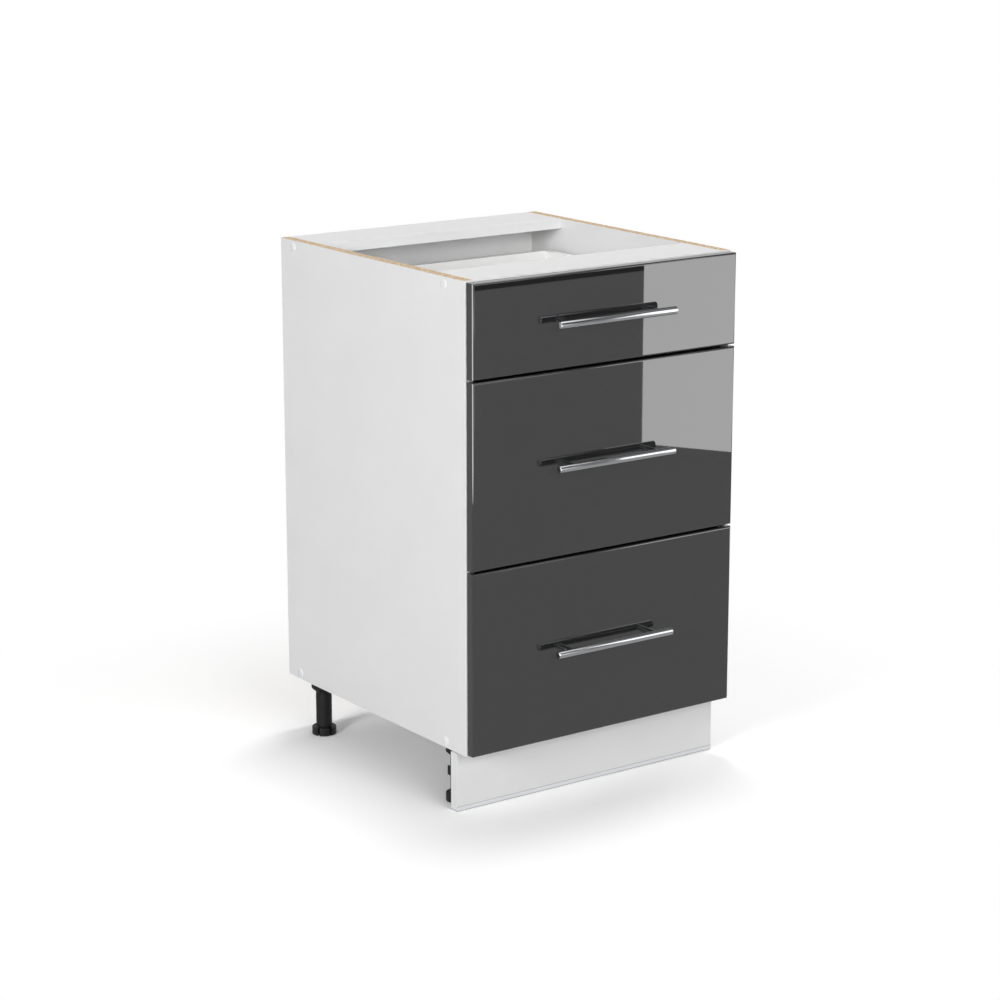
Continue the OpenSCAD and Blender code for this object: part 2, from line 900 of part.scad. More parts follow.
drawer_back(bottom);  // drawer_back_bottom
drawer_bottom(bottom);  // drawer_bottom_bottom
drawer_runners(bottom);  // drawer_runners_bottom
rear_rollers(bottom);  // rear_rollers_bottom
drawer_fixings(bottom);  // drawer_fixings_bottom
handle_bar(bottom);  // handle_bar_bottom
handle_posts(bottom);  // handle_posts_bottom
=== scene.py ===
import json
import math
import bmesh
import bpy
from mathutils import Matrix, Vector


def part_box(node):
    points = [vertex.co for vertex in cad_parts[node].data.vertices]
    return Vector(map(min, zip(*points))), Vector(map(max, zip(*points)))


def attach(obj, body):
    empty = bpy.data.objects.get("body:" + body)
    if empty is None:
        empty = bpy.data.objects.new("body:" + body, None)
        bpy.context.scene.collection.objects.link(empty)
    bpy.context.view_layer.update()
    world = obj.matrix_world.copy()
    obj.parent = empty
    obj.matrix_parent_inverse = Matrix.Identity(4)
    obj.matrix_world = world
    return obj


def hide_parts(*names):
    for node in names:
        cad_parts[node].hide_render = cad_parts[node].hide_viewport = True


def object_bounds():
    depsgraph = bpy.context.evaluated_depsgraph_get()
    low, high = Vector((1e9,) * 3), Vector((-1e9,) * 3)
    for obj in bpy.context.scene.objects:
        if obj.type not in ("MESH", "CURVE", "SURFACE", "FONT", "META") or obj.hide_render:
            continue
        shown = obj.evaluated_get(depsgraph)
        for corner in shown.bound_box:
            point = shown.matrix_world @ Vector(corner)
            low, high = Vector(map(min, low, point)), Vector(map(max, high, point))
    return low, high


# A base cabinet with three drawers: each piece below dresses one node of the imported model.
# Sizes in the pieces' dictionaries are millimetres, and everything is built in metres around the frame.
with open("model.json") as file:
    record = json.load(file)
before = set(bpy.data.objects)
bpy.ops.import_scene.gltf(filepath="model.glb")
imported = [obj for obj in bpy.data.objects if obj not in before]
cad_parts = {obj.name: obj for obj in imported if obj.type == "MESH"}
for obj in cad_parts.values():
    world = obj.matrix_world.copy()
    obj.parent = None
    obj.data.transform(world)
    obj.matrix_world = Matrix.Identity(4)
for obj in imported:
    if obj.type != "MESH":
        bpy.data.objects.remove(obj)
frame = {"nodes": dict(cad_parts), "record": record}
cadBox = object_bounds()
print("frame loaded:", len(frame["nodes"]), "nodes")

mm = 0.001
levels = ("top", "middle", "bottom")
bodies = frame["record"]["behaviour"]["bodies"]
nodeBody = {node: body for body, nodes in bodies.items() for node in nodes}


# Materials

def toLinear(colour):
    parts = [int(colour[i:i + 2], 16) / 255 for i in (1, 3, 5)]
    return [p / 12.92 if p <= 0.04045 else ((p + 0.055) / 1.055) ** 2.4 for p in parts] + [1]


def addNode(tree, kind, inputs, **settings):
    # Inputs go by name or by number: a colour mix has its factor at 0 and its colours at 6 and 7
    node = tree.nodes.new("ShaderNode" + kind)
    for name, value in settings.items():
        setattr(node, name, value)
    for socket, value in inputs.items():
        if isinstance(value, bpy.types.NodeSocket):
            tree.links.new(value, node.inputs[socket])
        else:
            node.inputs[socket].default_value = value
    return node


def startMaterial(name, shaderValues):
    material = bpy.data.materials.new(name)
    material.use_nodes = True
    tree = material.node_tree
    shader = tree.nodes["Principled BSDF"]
    for socket, value in shaderValues.items():
        shader.inputs[socket].default_value = value
    return material, tree, shader


def surface(name, look):
    # Two tones in soft clouds, a gloss that wanders a little, and a fine relief.
    # Cloud, grain and depth are millimetres, and stretch under 1 draws the pattern out that way.
    material, tree, shader = startMaterial(name, look.get("shader", {}))
    place = addNode(tree, "TexCoord", {}).outputs["Object"]
    stretch = {"Vector": place, "Scale": look.get("stretch", (1, 1, 1))}
    stretched = addNode(tree, "Mapping", stretch).outputs[0]
    cloud = addNode(tree, "TexNoise", {"Vector": stretched, "Scale": 1 / (look["cloud"] * mm), "Detail": 3})
    tones = [toLinear(colour) for colour in look["tones"]]
    tone = addNode(tree, "Mix", {0: cloud.outputs[0], 6: tones[0], 7: tones[1]}, data_type="RGBA")
    gloss = {"Value": cloud.outputs[0], "From Min": 0.3, "From Max": 0.7}  # where most of the clouds lie
    gloss.update({"To Min": look["rough"][0], "To Max": look["rough"][1]})
    rough = addNode(tree, "MapRange", gloss)
    grain = {"Vector": stretched, "Scale": 1 / (look["grain"] * mm)}
    relief = addNode(tree, look.get("pattern", "TexNoise"), grain)
    height = {"Height": relief.outputs[0], "Strength": look["relief"], "Distance": look["depth"] * mm}
    bump = addNode(tree, "Bump", height)
    tree.links.new(tone.outputs[2], shader.inputs["Base Color"])
    tree.links.new(rough.outputs[0], shader.inputs["Roughness"])
    tree.links.new(bump.outputs[0], shader.inputs["Normal"])
    return material


# White melamine-faced chipboard, pressed against a pearl plate: satin, with soft broken highlights.
# The real pearls are 0.4 mm, too fine to show, so they are drawn as 1.8 mm.
whiteMelamine = surface("whiteMelamine", {
    "tones": ("#E6E6E6", "#EBEBEB"), "cloud": 70, "rough": (0.36, 0.46),
    "grain": 1.8, "depth": 0.06, "relief": 0.25})

# White ABS edge band, trimmed and buffed: a little glossier than the board
whiteEdgeBand = surface("whiteEdgeBand", {
    "tones": ("#E9E9EA", "#ECECED"), "cloud": 60, "rough": (0.3, 0.34),
    "grain": 4, "depth": 0.02, "relief": 0.08})

# Drawer boards wrapped in white foil: smoother than the carcass
whiteFoil = surface("whiteFoil", {
    "tones": ("#F1F1F0", "#F4F4F3"), "cloud": 50, "rough": (0.34, 0.42),
    "grain": 2.4, "depth": 0.04, "relief": 0.2})

# Hardboard with a white lacquered face: flat and slightly mottled
whiteLacquer = surface("whiteLacquer", {
    "tones": ("#F3F3F3", "#F8F8F8"), "cloud": 25, "rough": (0.45, 0.58),
    "grain": 3, "depth": 0.08, "relief": 0.25})

# The reverse of the hardboard: brown fibres with the print of the wire mesh it was pressed on
brownHardboard = surface("brownHardboard", {
    "tones": ("#7E5C3B", "#A17B54"), "cloud": 6, "rough": (0.7, 0.85),
    "grain": 2.2, "depth": 0.3, "relief": 0.6,
    "pattern": "TexVoronoi"})

# High-gloss anthracite foil under clear lacquer on fibreboard: nearly black, and greyed by what it mirrors.
# The foil follows the board underneath, which gives very long, very shallow waves. The IOR is above a
# lacquer's usual 1.5, because the foil mirrors that strongly.
glossFoil = surface("glossFoil", {
    "tones": ("#212122", "#232324"), "cloud": 90, "rough": (0.008, 0.016),
    "grain": 30, "depth": 0.01, "relief": 0.06,
    "shader": {"IOR": 1.89}})

# Polished chrome plate: a sharp mirror with a cool tint
chromePlate = surface("chromePlate", {
    "tones": ("#B9BBBD", "#C0C2C4"), "cloud": 12, "rough": (0.03, 0.06),
    "grain": 5, "depth": 0.004, "relief": 0.06,
    "shader": {"Metallic": 1.0}})

# Sheet steel with a white epoxy coat: smooth with a slight orange peel
whiteEpoxy = surface("whiteEpoxy", {
    "tones": ("#E6E6E3", "#ECECE9"), "cloud": 40, "rough": (0.28, 0.38),
    "grain": 1.8, "depth": 0.05, "relief": 0.25})

# Bright zinc plate on turned steel: grey metal with blue and straw patches
zincPlate = surface("zincPlate", {
    "tones": ("#AEB6BE", "#C4C0B2"), "cloud": 4, "rough": (0.22, 0.38),
    "grain": 1, "depth": 0.02, "relief": 0.3,
    "shader": {"Metallic": 1.0}})

# Moulded natural nylon: waxy, slightly see-through white
naturalNylon = surface("naturalNylon", {
    "tones": ("#ECEBE4", "#F2F1EB"), "cloud": 8, "rough": (0.34, 0.45),
    "grain": 1.5, "depth": 0.02, "relief": 0.2,
    "shader": {"Subsurface Weight": 0.15, "Subsurface Scale": 0.002, "IOR": 1.53}})

# Moulded black polypropylene with a fine eroded grain: dull satin with pale scuffs
blackPolypropylene = surface("blackPolypropylene", {
    "tones": ("#121212", "#1A1A1A"), "cloud": 9, "rough": (0.42, 0.56),
    "grain": 1.2, "depth": 0.06, "relief": 0.35,
    "shader": {"IOR": 1.49, "Specular IOR Level": 0.25}})

# Turned beech: short pale grain along the dowel
turnedBeech = surface("turnedBeech", {
    "tones": ("#C49C68", "#E2C597"), "cloud": 1.6, "rough": (0.5, 0.65),
    "grain": 1.2, "depth": 0.1, "relief": 0.4,
    "stretch": (0.12, 1, 1)})

# Extruded PVC: the stiff strip nearly as white as the board, and grey, duller strips along its top and foot,
# which are painted shade lines
whiteVinyl = surface("whiteVinyl", {
    "tones": ("#E6E7E9", "#EAEBED"), "cloud": 20, "rough": (0.34, 0.42),
    "grain": 2, "depth": 0.03, "relief": 0.15})
shadeLineVinyl = surface("shadeLineVinyl", {
    "tones": ("#BFC2C5", "#C8CBCD"), "cloud": 20, "rough": (0.42, 0.52),
    "grain": 2, "depth": 0.03, "relief": 0.2})

# Clear soft polyurethane: a milky little lens
clearPolyurethane = surface("clearPolyurethane", {
    "tones": ("#E9ECEE", "#F2F4F5"), "cloud": 4, "rough": (0.15, 0.22),
    "grain": 2, "depth": 0.02, "relief": 0.1,
    "shader": {"Transmission Weight": 0.6, "IOR": 1.48}})

# Moulded white polyethylene: smooth, waxy and glossier than the board, so a cap shows by its highlight
whitePolyethylene = surface("whitePolyethylene", {
    "tones": ("#EBECED", "#EFF0F0"), "cloud": 6, "rough": (0.08, 0.12),
    "grain": 2, "depth": 0.02, "relief": 0.1,
    "shader": {"Subsurface Weight": 0.1, "Subsurface Scale": 0.001}})


chipboardLook = {"flake": 3.2, "speck": 5, "light": "#E2CDAF", "middle": "#C6A67A", "dark": "#8D6D4A",
                 "flakeSpread": (0.25, 0.75), "barkSpread": (0.58, 0.7),
                 "rough": 0.85, "relief": 0.6, "depth": 0.35}


def sawnChipboard(look):
    # Raw chipboard edge: pale spruce flakes of 2 to 4 mm with dark bark specks and open pores
    material, tree, shader = startMaterial("sawnChipboard", {"Roughness": look["rough"]})
    place = addNode(tree, "TexCoord", {}).outputs["Object"]
    flakes = addNode(tree, "TexVoronoi", {"Vector": place, "Scale": 1 / (look["flake"] * mm)})
    specks = addNode(tree, "TexNoise", {"Vector": place, "Scale": 1 / (look["speck"] * mm), "Detail": 4})
    low, high = look["flakeSpread"]
    shade = addNode(tree, "MapRange", {"Value": flakes.outputs["Color"], "From Min": low, "From Max": high})
    low, high = look["barkSpread"]
    bark = addNode(tree, "MapRange", {"Value": specks.outputs[0], "From Min": low, "From Max": high})
    light, middle, dark = [toLinear(look[tone]) for tone in ("light", "middle", "dark")]
    wood = addNode(tree, "Mix", {0: shade.outputs[0], 6: light, 7: middle}, data_type="RGBA")
    board = addNode(tree, "Mix", {0: bark.outputs[0], 6: wood.outputs[2], 7: dark}, data_type="RGBA")
    height = {"Height": flakes.outputs["Distance"], "Strength": look["relief"]}
    pores = addNode(tree, "Bump", {**height, "Distance": look["depth"] * mm})
    tree.links.new(board.outputs[2], shader.inputs["Base Color"])
    tree.links.new(pores.outputs[0], shader.inputs["Normal"])
    return material


rawChipboard = sawnChipboard(chipboardLook)
print("materials made:", len(bpy.data.materials))


# Tools for the shapes

# Millimetres within which points are one or lie on a cut, and the degrees at which an edge
# counts as flat, gets a crease in the shading, or is rounded
shapeLook = {"weld": 0.001, "cut": 0.01, "flat": 0.5, "crease": 32, "rounded": 40}


def pieceName(node):
    words = node.split("_")
    return words[0] + "".join(word.capitalize() for word in words[1:])


def finishPiece(bm, node, looks):
    bmesh.ops.remove_doubles(bm, verts=bm.verts, dist=shapeLook["weld"] * mm)
    name = pieceName(node)
    mesh = bpy.data.meshes.new(name)
    bm.to_mesh(mesh)
    bm.free()
    for look in looks:
        mesh.materials.append(look)
    mesh.shade_smooth()
    mesh.set_sharp_from_angle(angle=math.radians(shapeLook["crease"]))
    piece = bpy.data.objects.new(name, mesh)
    bpy.context.scene.collection.objects.link(piece)
    even = piece.modifiers.new("evenShading", "WEIGHTED_NORMAL")  # flat faces stay flat beside soft edges
    even.keep_sharp = True
    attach(piece, nodeBody[node])
    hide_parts(node)
    return piece


def mergedNode(node):
    bm = bmesh.new()
    bm.from_mesh(frame["nodes"][node].data)
    bmesh.ops.remove_doubles(bm, verts=bm.verts, dist=shapeLook["weld"] * mm)
    flat = {"angle_limit": math.radians(shapeLook["flat"]), "use_dissolve_boundaries": False}
    bmesh.ops.dissolve_limit(bm, verts=bm.verts, edges=bm.edges, **flat)
    return bm


def softEdges(bm, edges, width, steps):
    shape = {"offset": width * mm, "offset_type": "OFFSET", "segments": steps, "profile": 0.5}
    bmesh.ops.bevel(bm, geom=edges, affect="EDGES", clamp_overlap=False, material=-1, **shape)


def easeNode(node, width, steps, least):
    # A merged copy of the node with its long sharp edges rounded
    bm = mergedNode(node)
    long = [e for e in bm.edges if e.is_manifold and e.calc_length() > least * mm]
    turn = math.radians(shapeLook["rounded"])
    softEdges(bm, [e for e in long if e.calc_face_angle() > turn], width, steps)
    return bm


def slicePiece(bm, point, direction):
    # New edges where a plane meets the shape, which stays whole
    whole = list(bm.verts) + list(bm.edges) + list(bm.faces)
    near = shapeLook["cut"] * mm
    bmesh.ops.bisect_plane(bm, geom=whole, dist=near, plane_co=point, plane_no=direction)


def paintSides(bm, sides):
    # Each face takes the material number of the side that it looks to
    for face in bm.faces:
        axis = max(range(3), key=lambda i: abs(face.normal[i]))
        side = ("-" if face.normal[axis] < 0 else "+") + "xyz"[axis]
        face.material_index = sides.get(side, 0)


def looseParts(node):
    # The box of each separate solid in a node
    bm = mergedNode(node)
    waiting = set(bm.verts)
    parts = []
    while waiting:
        group = [waiting.pop()]
        for vert in group:
            near = {e.other_vert(vert) for e in vert.link_edges} & waiting
            waiting -= near
            group.extend(near)
        low = Vector([min(v.co[i] for v in group) for i in range(3)])
        high = Vector([max(v.co[i] for v in group) for i in range(3)])
        parts.append((low, high))
    bm.free()
    return parts


def eased(points, radius, steps):
    # An outline with every corner between its ends turned into an arc, which takes under half of each side
    path = [Vector(p) for p in points]
    smooth = [path[0]]
    for before, corner, after in zip(path, path[1:], path[2:]):
        reach = [min(radius, 0.45 * (end - corner).length) for end in (before, after)]
        start = corner + (before - corner).normalized() * reach[0]
        end = corner + (after - corner).normalized() * reach[1]
        for i in range(steps + 1):
            t = i / steps
            smooth.append(start * (1 - t) ** 2 + corner * 2 * t * (1 - t) + end * t ** 2)
    return smooth + [path[-1]]


def turned(points, sides):
    # An outline of radius and height, turned round Z. A closed outline ends where it starts
    bm = bmesh.new()
    verts = [bm.verts.new((p[0] * mm, 0, p[1] * mm)) for p in points]
    edges = [bm.edges.new(pair) for pair in zip(verts, verts[1:])]
    whole = {"cent": (0, 0, 0), "axis": (0, 0, 1), "angle": 2 * math.pi, "steps": sides}
    bmesh.ops.spin(bm, geom=verts + edges, use_merge=True, **whole)
    bmesh.ops.remove_doubles(bm, verts=bm.verts, dist=shapeLook["weld"] * mm)
    bmesh.ops.recalc_face_normals(bm, faces=bm.faces)
    return bm


def chamferedRod(radius, length, cut):
    # The outline of a round bar with a chamfer at both ends
    start = [(0, 0), (radius - cut, 0), (radius, cut)]
    return start + [(radius, length - cut), (radius - cut, length), (0, length)]


def block(low, high):
    bm = bmesh.new()
    bmesh.ops.create_cube(bm, size=1)
    bmesh.ops.scale(bm, vec=high - low, verts=bm.verts)
    bmesh.ops.translate(bm, vec=(low + high) / 2, verts=bm.verts)
    return bm


def addPart(bm, part, place=Matrix.Identity(4)):
    bmesh.ops.transform(part, matrix=place, verts=part.verts)
    scratch = bpy.data.meshes.new("scratch")
    part.to_mesh(scratch)
    part.free()
    bm.from_mesh(scratch)
    bpy.data.meshes.remove(scratch)


def facing(point, direction):
    # Turns +Z to the direction and moves the origin to the point
    turn = Vector((0, 0, 1)).rotation_difference(Vector(direction))
    return Matrix.Translation(point) @ turn.to_matrix().to_4x4()


def cutAway(bm, tool):
    # Takes closed tools out of a closed shape with the exact boolean
    objects = []
    for shape in (bm, tool):
        mesh = bpy.data.meshes.new("scratch")
        shape.to_mesh(mesh)
        shape.free()
        objects.append(bpy.data.objects.new("scratch", mesh))
        bpy.context.scene.collection.objects.link(objects[-1])
    cut = objects[0].modifiers.new("cut", "BOOLEAN")
    cut.operation = "DIFFERENCE"
    cut.solver = "EXACT"
    cut.object = objects[1]
    result = bmesh.new()
    result.from_object(objects[0], bpy.context.evaluated_depsgraph_get())
    for obj in objects:
        mesh = obj.data
        bpy.data.objects.remove(obj)
        bpy.data.meshes.remove(mesh)
    return result


# Boards

boardLook = {"edge": 0.45, "steps": 2, "leastEdge": 12, "bandThickness": 1.4}


def makeBoard(node, looks, sides):
    bm = easeNode(node, boardLook["edge"], boardLook["steps"], boardLook["leastEdge"])
    paintSides(bm, sides)
    return finishPiece(bm, node, looks)


def makeSidePanel(node):
    # The band on the front edge is thick enough to show at the end of the raw top edge
    bm = easeNode(node, boardLook["edge"], boardLook["steps"], boardLook["leastEdge"])
    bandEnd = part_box(node)[0].y + boardLook["bandThickness"] * mm
    slicePiece(bm, (0, bandEnd, 0), (0, 1, 0))
    paintSides(bm, {"-y": 1, "+y": 2, "+z": 2, "-z": 1})
    for face in bm.faces:
        if face.calc_center_median().y < bandEnd:
            face.material_index = 1
    return finishPiece(bm, node, (whiteMelamine, whiteEdgeBand, rawChipboard))


for side in ("left", "right"):
    makeSidePanel("side_panel_" + side)
for node in ("bottom_panel", "front_rail", "rear_rail"):
    makeBoard(node, (whiteMelamine, whiteEdgeBand, rawChipboard), {"-y": 1, "+y": 1, "-x": 2, "+x": 2})
makeBoard("back_panel", (brownHardboard, whiteLacquer), {"-y": 1})
for level in levels:
    for side in ("left", "right"):
        makeBoard("drawer_side_" + side + "_" + level, (whiteFoil, rawChipboard), {"-y": 1, "+y": 1})
    makeBoard("drawer_back_" + level, (whiteFoil, rawChipboard), {"-x": 1, "+x": 1})
    makeBoard("drawer_bottom_" + level, (brownHardboard, whiteLacquer), {"+z": 1})
makeBoard("plinth_board", (whiteMelamine, whiteEdgeBand, rawChipboard), {"-x": 1, "+x": 1, "+z": 1, "-z": 2})
print("boards made")


# Screws and fittings

# Shares of the head's radius and height, and of the shank's radius
screwLook = {"sunkTop": 0.88, "roundTop": 0.72, "shoulder": 0.92, "recess": 0.6, "taper": 0.05,
             "sunkRim": 0.1, "shoulderFall": 0.18, "rimFall": 0.5, "root": 0.78, "tip": 0.35}


def crossHead(radius, recess):
    # A round top with a cross recess, as an open cap at z = 0. It starts as five by five squares over
    # -1 to 1: the rim is pulled to the circle, and the middle square sinks with its four neighbours
    bm = bmesh.new()
    bmesh.ops.create_grid(bm, x_segments=5, y_segments=5, size=1)
    rim, corner, drawnIn, crossReach = 0.9, 0.5, 0.85, 0.5
    for vert in bm.verts:
        near, far = sorted((abs(vert.co.x), abs(vert.co.y)))
        if far > rim:
            vert.co = vert.co.normalized()
        elif near > corner:
            vert.co *= drawnIn
    cross = [face for face in bm.faces if face.calc_center_median().length < crossReach]
    sunk = {"thickness": screwLook["taper"], "depth": -recess / radius, "use_even_offset": True}
    bmesh.ops.inset_region(bm, faces=cross, **sunk)
    bmesh.ops.scale(bm, vec=(radius * mm,) * 3, verts=bm.verts)
    return bm


def drawDown(bm, rings):
    # Pulls the open rim through rings of radius and height, and closes the end
    for radius, height in rings:
        rim = [e for e in bm.edges if e.is_boundary]
        pulled = bmesh.ops.extrude_edge_only(bm, edges=rim)["geom"]
        for vert in pulled:
            if isinstance(vert, bmesh.types.BMVert):
                vert.co = Vector((vert.co.x, vert.co.y, 0)).normalized() * radius * mm
                vert.co.z = height * mm
    bmesh.ops.contextual_create(bm, geom=[e for e in bm.edges if e.is_boundary])
    bmesh.ops.recalc_face_normals(bm, faces=bm.faces)
    return bm


def makeScrew(head, length, kind):
    # Head at the origin looking to +Z, with a thread of plain ridges below it
    look = screwLook
    rise, shank, pitch = kind["rise"], kind["shank"], kind["pitch"]
    if kind["sunk"]:
        bm = crossHead(look["sunkTop"] * head, look["recess"] * rise)
        rings = [(head, -look["sunkRim"] * rise), (shank, -rise)]
    else:
        bm = crossHead(look["roundTop"] * head, look["recess"] * rise)
        rings = [(look["shoulder"] * head, -look["shoulderFall"] * rise), (head, -look["rimFall"] * rise)]
        rings += [(head, -rise), (shank, -rise)]
    ridges = int((length - rise) / pitch) - 1
    for i in range(ridges):
        height = -rise - pitch * (i + 0.5)
        rings += [(look["root"] * shank, height), (shank, height - pitch / 2)]
    return drawDown(bm, rings + [(look["tip"] * shank, -length)])


def addScrew(bm, part, direction, kind):
    # One screw that fills a solid's box, with its head on the side that the direction names
    low, high = part
    axis = max(range(3), key=lambda i: abs(direction[i]))
    cross = (axis + 1) % 3
    top = (low + high) / 2
    top[axis] = high[axis] if direction[axis] > 0 else low[axis]
    head = (high - low)[cross] / 2 / mm
    length = (high - low)[axis] / mm
    addPart(bm, makeScrew(head, length, kind), facing(top, direction))


def outward(part):
    return (1 if part[0].x + part[1].x > 0 else -1, 0, 0)


def inward(part):
    return (-outward(part)[0], 0, 0)


# Height of the head, radius of the shank and pitch of the thread
screwKinds = {
    "carcass": {"rise": 2.5, "shank": 3.5, "pitch": 3, "sunk": True},
    "runner": {"rise": 1, "shank": 3, "pitch": 2, "sunk": False},
    "small": {"rise": 1.8, "shank": 1.75, "pitch": 1.5, "sunk": False},
    "box": {"rise": 1.8, "shank": 1.75, "pitch": 1.8, "sunk": True},
    "handle": {"rise": 2.2, "shank": 2, "pitch": 1, "sunk": False}}


def makeScrews(node, kind, heads):
    bm = bmesh.new()
    for part in looseParts(node):
        addScrew(bm, part, heads(part), screwKinds[kind])
    return finishPiece(bm, node, (zincPlate,))


makeScrews("carcass_screws", "carcass", outward)
makeScrews("runner_screws", "runner", inward)
makeScrews("leg_screws", "small", lambda part: (0, 0, -1))
makeScrews("plinth_clip_screws", "small", lambda part: (0, 1, 0))

camLook = {"recess": 2, "ease": 0.6, "roundWithin": 0.5, "boltShort": 0.6}
boltLook = {"radius": 3, "neck": 2.2, "widest": 7, "tip": 0.8, "ridges": 17, "ridgeStep": 0.6,
            "ridgeDepth": 0.5, "threadEnd": 11, "collar": 6, "neckStart": 5, "neckEnd": 2, "headEnd": 1.6,
            "sides": 20}


def partKind(part):
    # The shape of a drawer fixing tells what it is: a flat round cam, or a rod by its long way and width
    size = (part[1] - part[0]) / mm
    long = max(range(3), key=lambda i: size[i])
    if abs(size.y - size.z) < camLook["roundWithin"] and size.x < size.y:
        return "cam"
    if long == 1:
        return "handle" if size.x > boltLook["widest"] else "bolt"
    return "box" if long == 0 else "under"


def makeCam(part):
    radius = (part[1] - part[0]).y / 2 / mm
    depth = (part[1] - part[0]).x / mm
    ease = camLook["ease"]
    bm = crossHead(radius - ease, camLook["recess"])
    return drawDown(bm, [(radius, -ease), (radius, ease - depth), (radius - ease, -depth)])


def makeBolt(length):
    # A dowel bolt: threaded end in the fascia, a neck, and the head that the cam pulls
    look = boltLook
    head, neck = look["radius"], look["neck"]
    steps = range(1, look["ridges"] + 1)
    thread = [(head - look["ridgeDepth"] * (i % 2), look["ridgeStep"] * i) for i in steps]
    outline = [(0, 0), (head - look["tip"], 0)] + thread
    outline += [(head, look["threadEnd"]), (head, length - look["collar"])]
    outline += [(neck, length - look["neckStart"]), (neck, length - look["neckEnd"])]
    outline += [(head, length - look["headEnd"]), (head, length), (0, length)]
    return turned(outline, look["sides"])


def makeFixings(level):
    node = "drawer_fixings_" + level
    parts = looseParts(node)
    camRadius = max((high - low).y for low, high in parts if partKind((low, high)) == "cam") / 2
    # A bolt's box ends at the middle of its cam, and the dressed bolt stops short of that, inside the cam
    short = camLook["boltShort"] * camRadius
    bm = bmesh.new()
    for part in parts:
        low, high = part
        kind = partKind(part)
        middle = (low + high) / 2
        if kind == "cam":
            face = high.x if inward(part)[0] > 0 else low.x
            addPart(bm, makeCam(part), facing((face, middle.y, middle.z), inward(part)))
        elif kind == "bolt":
            length = (high.y - low.y - short) / mm
            addPart(bm, makeBolt(length), facing((middle.x, low.y, middle.z), (0, 1, 0)))
        elif kind == "handle":
            addScrew(bm, part, (0, 1, 0), screwKinds["handle"])
        elif kind == "box":
            addScrew(bm, part, outward(part), screwKinds["box"])
        else:
            addScrew(bm, part, (0, 0, -1), screwKinds["small"])
    return finishPiece(bm, node, (zincPlate,))


for level in levels:
    makeFixings(level)
print("screws and fittings made")


# Caps, pads and dowels

capLook = {"rim": 0.35, "steps": 7, "sides": 32}
padLook = {"top": 0.75, "side": 0.3, "ease": 0.8, "easeSteps": 3, "sides": 24}


def makeCaps():
    bm = bmesh.new()
    for part in looseParts("cover_caps"):
        low, high = part
        radius, rise = (high.y - low.y) / 2 / mm, (high.x - low.x) / mm
        middle = (low + high) / 2
        base = low.x if middle.x > 0 else high.x
        steps = capLook["steps"]
        dome = [(radius * math.sin(a), capLook["rim"] + (rise - capLook["rim"]) * math.cos(a))
                for a in [math.pi / 2 * i / steps for i in range(steps + 1)]]
        cap = turned(dome + [(radius, 0), (0, 0)], capLook["sides"])
        addPart(bm, cap, facing((base, middle.y, middle.z), outward(part)))
    return finishPiece(bm, "cover_caps", (whitePolyethylene,))


def makePads():
    bm = bmesh.new()
    for low, high in looseParts("bumper_pads"):
        radius, rise = (high.x - low.x) / 2 / mm, (high.y - low.y) / mm
        corners = [(0, rise), (padLook["top"] * radius, rise), (radius, padLook["side"] * rise)]
        outline = eased(corners + [(radius, 0), (0, 0)], padLook["ease"], padLook["easeSteps"])
        pad = turned(outline, padLook["sides"])
        middle = (low + high) / 2
        addPart(bm, pad, facing((middle.x, high.y, middle.z), (0, -1, 0)))
    return finishPiece(bm, "bumper_pads", (clearPolyurethane,))


dowelLook = {"chamfer": 1, "flutes": 12, "flute": 0.94}


def makeDowels():
    bm = bmesh.new()
    for low, high in looseParts("dowels"):
        radius, length = (high.y - low.y) / 2 / mm, (high.x - low.x) / mm
        dowel = turned(chamferedRod(radius, length, dowelLook["chamfer"]), 2 * dowelLook["flutes"])
        turn = math.pi / dowelLook["flutes"]
        for vert in dowel.verts:
            if round(math.atan2(vert.co.y, vert.co.x) / turn) % 2:
                vert.co.x *= dowelLook["flute"]
                vert.co.y *= dowelLook["flute"]
        middle = (low + high) / 2
        addPart(bm, dowel, facing((low.x, middle.y, middle.z), (1, 0, 0)))
    return finishPiece(bm, "dowels", (turnedBeech,))


makeCaps()
makePads()
makeDowels()
print("caps, pads and dowels made")


# Runners and rollers

runnerLook = {"edge": 0.3, "steps": 2, "leastEdge": 4}
rollerLook = {"bore": 5.1, "hub": 9, "dish": 0.8, "ease": 0.6, "easeSteps": 2, "sides": 36}


def makeRunners(node):
    bm = easeNode(node, runnerLook["edge"], runnerLook["steps"], runnerLook["leastEdge"])
    return finishPiece(bm, node, (whiteEpoxy,))


def makeRollers(node):
    # Wheels with a raised hub and tread on both faces
    bm = bmesh.new()
    for low, high in looseParts(node):
        radius, width = (high.y - low.y) / 2 / mm, (high.x - low.x) / mm
        bore, hub, dish = rollerLook["bore"] / 2, rollerLook["hub"] / 2, rollerLook["dish"]
        outline = [(bore, width / 2), (bore, 0), (hub, 0), (hub + dish, dish), (radius - 2 * dish, dish)]
        outline += [(radius - dish, 0), (radius, 0), (radius, width), (radius - dish, width)]
        outline += [(radius - 2 * dish, width - dish), (hub + dish, width - dish)]
        outline += [(hub, width), (bore, width)]
        middle = (low + high) / 2
        rounded = eased(outline + [outline[0]], rollerLook["ease"], rollerLook["easeSteps"])
        wheel = turned(rounded, rollerLook["sides"])
        addPart(bm, wheel, facing((low.x, middle.y, middle.z), (1, 0, 0)))
    return finishPiece(bm, node, (naturalNylon,))


for side in ("left", "right"):
    makeRunners("cabinet_runners_" + side)
for level in levels:
    makeRunners("drawer_runners_" + level)
    makeRollers("front_rollers_" + level)
    makeRollers("rear_rollers_" + level)
print("runners and rollers made")


# Fascias and handles

